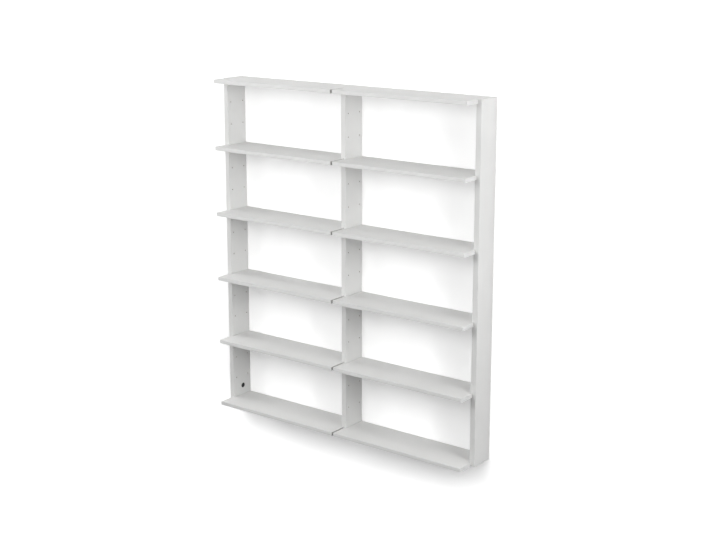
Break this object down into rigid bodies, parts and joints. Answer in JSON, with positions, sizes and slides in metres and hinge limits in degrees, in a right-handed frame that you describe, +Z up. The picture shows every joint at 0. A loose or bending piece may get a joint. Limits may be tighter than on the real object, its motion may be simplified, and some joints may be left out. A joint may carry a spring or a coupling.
{
  "type": "wall shelf",
  "caption": "Shallow open wall shelf: slim uprights with rows of holes carry two bays of T-shaped shelves on hidden wires; hung on keyhole plates and locked by cams.",
  "frame": {"origin": "on the wall plane, at the middle of the middle upright's rear edge", "axes": "+X to the right seen from the front, +Y to the wall, +Z up; the front looks along -Y"},
  "size_m": [0.87, 0.127, 0.971],
  "materials": {
    "board_lacquer": "satin white lacquer on board",
    "fitting_steel": "zinc plated steel",
    "dowel_beech": "raw beech",
    "cam_black": "matt black zinc casting"
  },
  "bodies": {
    "frame": {"upright_left": "board_lacquer", "upright_middle": "board_lacquer", "upright_right": "board_lacquer", "top_shelf_left": "board_lacquer", "top_shelf_right": "board_lacquer", "bottom_shelf_left": "board_lacquer", "bottom_shelf_right": "board_lacquer", "support_wire_left_2_outer": "fitting_steel", "support_wire_left_2_inner": "fitting_steel", "support_wire_left_3_outer": "fitting_steel", "support_wire_left_3_inner": "fitting_steel", "support_wire_left_4_outer": "fitting_steel", "support_wire_left_4_inner": "fitting_steel", "support_wire_left_5_outer": "fitting_steel", "support_wire_left_5_inner": "fitting_steel", "support_wire_right_2_outer": "fitting_steel", "support_wire_right_2_inner": "fitting_steel", "support_wire_right_3_outer": "fitting_steel", "support_wire_right_3_inner": "fitting_steel", "support_wire_right_4_outer": "fitting_steel", "support_wire_right_4_inner": "fitting_steel", "support_wire_right_5_outer": "fitting_steel", "support_wire_right_5_inner": "fitting_steel", "dowel_top_left_outer_front": "dowel_beech", "dowel_top_left_outer_rear": "dowel_beech", "dowel_top_left_inner_front": "dowel_beech", "dowel_top_left_inner_rear": "dowel_beech", "dowel_top_right_outer_front": "dowel_beech", "dowel_top_right_outer_rear": "dowel_beech", "dowel_top_right_inner_front": "dowel_beech", "dowel_top_right_inner_rear": "dowel_beech", "dowel_bottom_left_outer_front": "dowel_beech", "dowel_bottom_left_outer_rear": "dowel_beech", "dowel_bottom_left_inner_front": "dowel_beech", "dowel_bottom_left_inner_rear": "dowel_beech", "dowel_bottom_right_outer_front": "dowel_beech", "dowel_bottom_right_outer_rear": "dowel_beech", "dowel_bottom_right_inner_front": "dowel_beech", "dowel_bottom_right_inner_rear": "dowel_beech", "hanger_plate_left": "fitting_steel", "hanger_plate_middle": "fitting_steel", "hanger_plate_right": "fitting_steel", "hanger_screw_left_lower": "fitting_steel", "hanger_screw_left_upper": "fitting_steel", "hanger_screw_middle_lower": "fitting_steel", "hanger_screw_middle_upper": "fitting_steel", "hanger_screw_right_lower": "fitting_steel", "hanger_screw_right_upper": "fitting_steel"},
    "shelf_left_2": {"shelf_left_2": "board_lacquer"},
    "shelf_left_3": {"shelf_left_3": "board_lacquer"},
    "shelf_left_4": {"shelf_left_4": "board_lacquer"},
    "shelf_left_5": {"shelf_left_5": "board_lacquer"},
    "shelf_right_2": {"shelf_right_2": "board_lacquer"},
    "shelf_right_3": {"shelf_right_3": "board_lacquer"},
    "shelf_right_4": {"shelf_right_4": "board_lacquer"},
    "shelf_right_5": {"shelf_right_5": "board_lacquer"},
    "wall_cam_left": {"wall_cam_left": "cam_black"},
    "wall_cam_right": {"wall_cam_right": "cam_black"}
  },
  "joints": [
    {"name": "shelf_left_2_draw_out", "type": "slide", "parent": "frame", "child": "shelf_left_2", "axis": [0, -1, 0], "range_m": [0, 0.13]},
    {"name": "shelf_left_3_draw_out", "type": "slide", "parent": "frame", "child": "shelf_left_3", "axis": [0, -1, 0], "range_m": [0, 0.13]},
    {"name": "shelf_left_4_draw_out", "type": "slide", "parent": "frame", "child": "shelf_left_4", "axis": [0, -1, 0], "range_m": [0, 0.13]},
    {"name": "shelf_left_5_draw_out", "type": "slide", "parent": "frame", "child": "shelf_left_5", "axis": [0, -1, 0], "range_m": [0, 0.13]},
    {"name": "shelf_right_2_draw_out", "type": "slide", "parent": "frame", "child": "shelf_right_2", "axis": [0, -1, 0], "range_m": [0, 0.13]},
    {"name": "shelf_right_3_draw_out", "type": "slide", "parent": "frame", "child": "shelf_right_3", "axis": [0, -1, 0], "range_m": [0, 0.13]},
    {"name": "shelf_right_4_draw_out", "type": "slide", "parent": "frame", "child": "shelf_right_4", "axis": [0, -1, 0], "range_m": [0, 0.13]},
    {"name": "shelf_right_5_draw_out", "type": "slide", "parent": "frame", "child": "shelf_right_5", "axis": [0, -1, 0], "range_m": [0, 0.13]},
    {"name": "wall_cam_left_turn", "type": "hinge", "parent": "frame", "child": "wall_cam_left", "pos_m": [-0.419, -0.034, -0.448], "axis": [1, 0, 0], "range_deg": [0, 175]},
    {"name": "wall_cam_right_turn", "type": "hinge", "parent": "frame", "child": "wall_cam_right", "pos_m": [0.419, -0.034, -0.448], "axis": [-1, 0, 0], "range_deg": [0, 175]}
  ]
}
